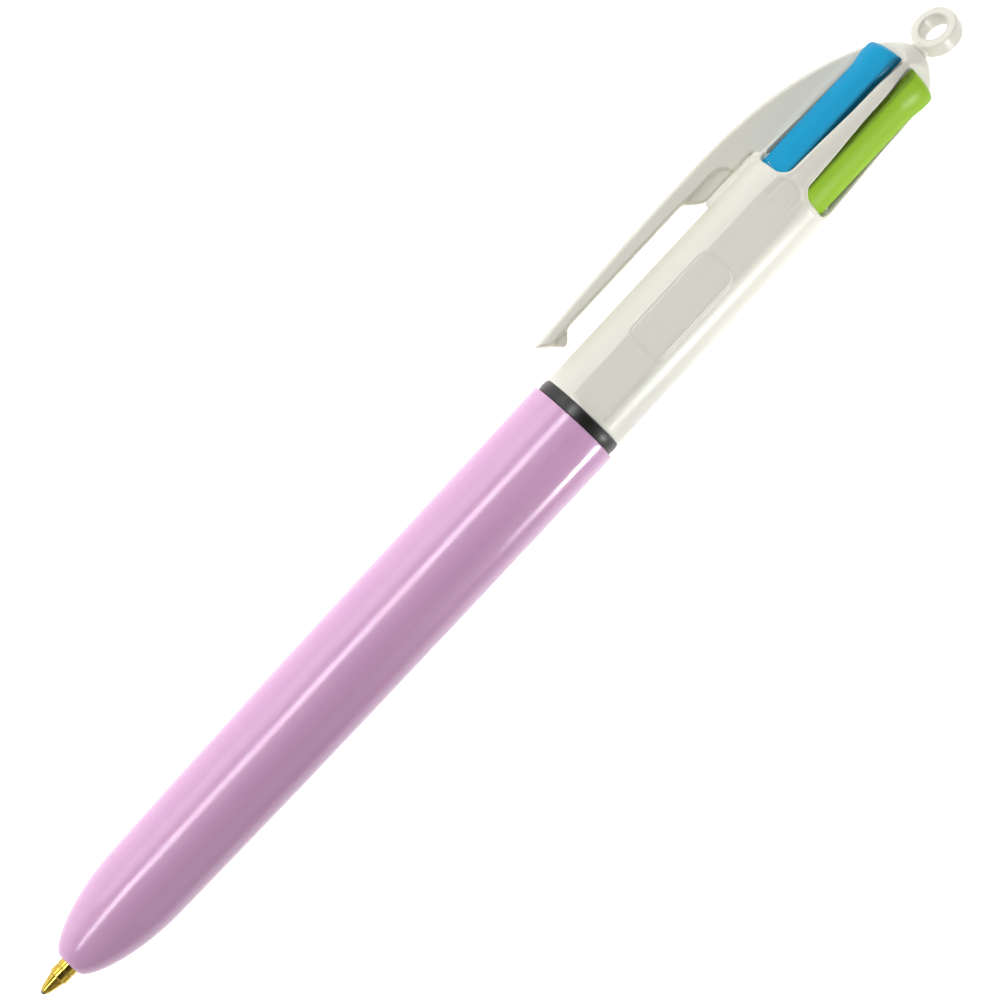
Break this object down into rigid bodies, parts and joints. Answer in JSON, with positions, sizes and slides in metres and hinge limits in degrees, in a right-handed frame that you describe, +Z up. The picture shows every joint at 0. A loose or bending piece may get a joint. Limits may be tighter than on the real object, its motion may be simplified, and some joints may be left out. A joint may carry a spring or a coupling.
{
  "type": "multicolour click pen",
  "caption": "Multicolour click pen with coloured slide buttons, a sprung side clip, a lanyard loop and refills that share one nose, lying on its clip.",
  "frame": {"origin": "centre of the bounding box's footprint, on the table that the pen lies on", "axes": "+X along the pen from the writing tip to the lanyard loop, +Z up from the table; the clip leans down on the +Y side"},
  "size_m": [0.1518, 0.0156, 0.0117],
  "materials": {
    "lilac_barrel": "glossy moulded plastic",
    "black_trim": "glossy",
    "ivory_casing": "glossy moulded plastic",
    "ivory_inner": "satin",
    "blue_slider": "semi-gloss",
    "green_slider": "semi-gloss",
    "purple_slider": "semi-gloss",
    "pink_slider": "semi-gloss",
    "spring_steel": "drawn wire",
    "refill_brass": "turned and polished",
    "ball_steel": "polished",
    "refill_tubing": "translucent satin",
    "blue_ink": "wet",
    "green_ink": "wet",
    "purple_ink": "wet",
    "pink_ink": "wet"
  },
  "bodies": {
    "body": {"upper_body": "ivory_casing", "trim_ring": "black_trim", "crown_cap": "ivory_casing", "latch_core": "ivory_inner", "spring_seat": "ivory_inner", "spring_blue": "spring_steel", "spring_green": "spring_steel", "spring_purple": "spring_steel", "spring_pink": "spring_steel"},
    "barrel": {"lower_barrel": "lilac_barrel"},
    "clip": {"clip_arm": "ivory_casing"},
    "slider_blue": {"slider_blue": "blue_slider"},
    "refill_blue": {"refill_tube_blue": "refill_tubing", "refill_tip_blue": "refill_brass", "refill_ball_blue": "ball_steel", "ink_blue": "blue_ink"},
    "slider_green": {"slider_green": "green_slider"},
    "refill_green": {"refill_tube_green": "refill_tubing", "refill_tip_green": "refill_brass", "refill_ball_green": "ball_steel", "ink_green": "green_ink"},
    "slider_purple": {"slider_purple": "purple_slider"},
    "refill_purple": {"refill_tube_purple": "refill_tubing", "refill_tip_purple": "refill_brass", "refill_ball_purple": "ball_steel", "ink_purple": "purple_ink"},
    "slider_pink": {"slider_pink": "pink_slider"},
    "refill_pink": {"refill_tube_pink": "refill_tubing", "refill_tip_pink": "refill_brass", "refill_ball_pink": "ball_steel", "ink_pink": "pink_ink"}
  },
  "joints": [
    {"name": "barrel_pull_off", "type": "slide", "parent": "body", "child": "barrel", "axis": [-1, 0, 0], "range_m": [0, 0.09]},
    {"name": "clip_flex", "type": "hinge", "parent": "body", "child": "clip", "pos_m": [0.04971, 0.0052, 0.00271], "axis": [0, -0.4049, -0.9144], "range_deg": [0, 4], "stiffness_Nm_per_rad": 2.2, "springref_deg": -0.57},
    {"name": "blue_click", "type": "slide", "parent": "body", "child": "slider_blue", "axis": [-1, 0, 0], "range_m": [0, 0.01], "stiffness_N_per_m": 150, "springref_m": -0.004, "deforming": ["spring_blue", "refill_tube_blue", "refill_tip_blue", "refill_ball_blue", "ink_blue"]},
    {"name": "blue_refill_bend", "type": "hinge", "parent": "slider_blue", "child": "refill_blue", "pos_m": [0.03111, 0.00058, 0.00684], "axis": [0, -0.3603, 0.9329], "range_deg": [0, 1.5]},
    {"name": "green_click", "type": "slide", "parent": "body", "child": "slider_green", "axis": [-1, 0, 0], "range_m": [0, 0.01], "stiffness_N_per_m": 150, "springref_m": -0.004, "deforming": ["spring_green", "refill_tube_green", "refill_tip_green", "refill_ball_green", "ink_green"]},
    {"name": "green_refill_bend", "type": "hinge", "parent": "slider_green", "child": "refill_green", "pos_m": [0.03111, -0.00291, 0.00838], "axis": [0, -0.9329, -0.3603], "range_deg": [0, 1.5]},
    {"name": "purple_click", "type": "slide", "parent": "body", "child": "slider_purple", "axis": [-1, 0, 0], "range_m": [-0.01, 0], "deforming": ["spring_purple", "refill_tube_purple", "refill_tip_purple", "refill_ball_purple", "ink_purple"]},
    {"name": "purple_refill_bend", "type": "hinge", "parent": "slider_purple", "child": "refill_purple", "pos_m": [0.02111, -0.00445, 0.00489], "axis": [0, 0.3603, -0.9329], "range_deg": [-1.5, 0]},
    {"name": "pink_click", "type": "slide", "parent": "body", "child": "slider_pink", "axis": [-1, 0, 0], "range_m": [0, 0.01], "stiffness_N_per_m": 150, "springref_m": -0.004, "deforming": ["spring_pink", "refill_tube_pink", "refill_tip_pink", "refill_ball_pink", "ink_pink"]},
    {"name": "pink_refill_bend", "type": "hinge", "parent": "slider_pink", "child": "refill_pink", "pos_m": [0.03111, -0.00096, 0.00334], "axis": [0, 0.9329, 0.3603], "range_deg": [0, 1.5]}
  ],
  "couplings": [
    {"joint": "blue_refill_bend", "follows": "blue_click", "rad_per_m": 2.5261},
    {"joint": "green_refill_bend", "follows": "green_click", "rad_per_m": 2.5261},
    {"joint": "purple_refill_bend", "follows": "purple_click", "rad_per_m": 2.5261},
    {"joint": "pink_refill_bend", "follows": "pink_click", "rad_per_m": 2.5261}
  ]
}
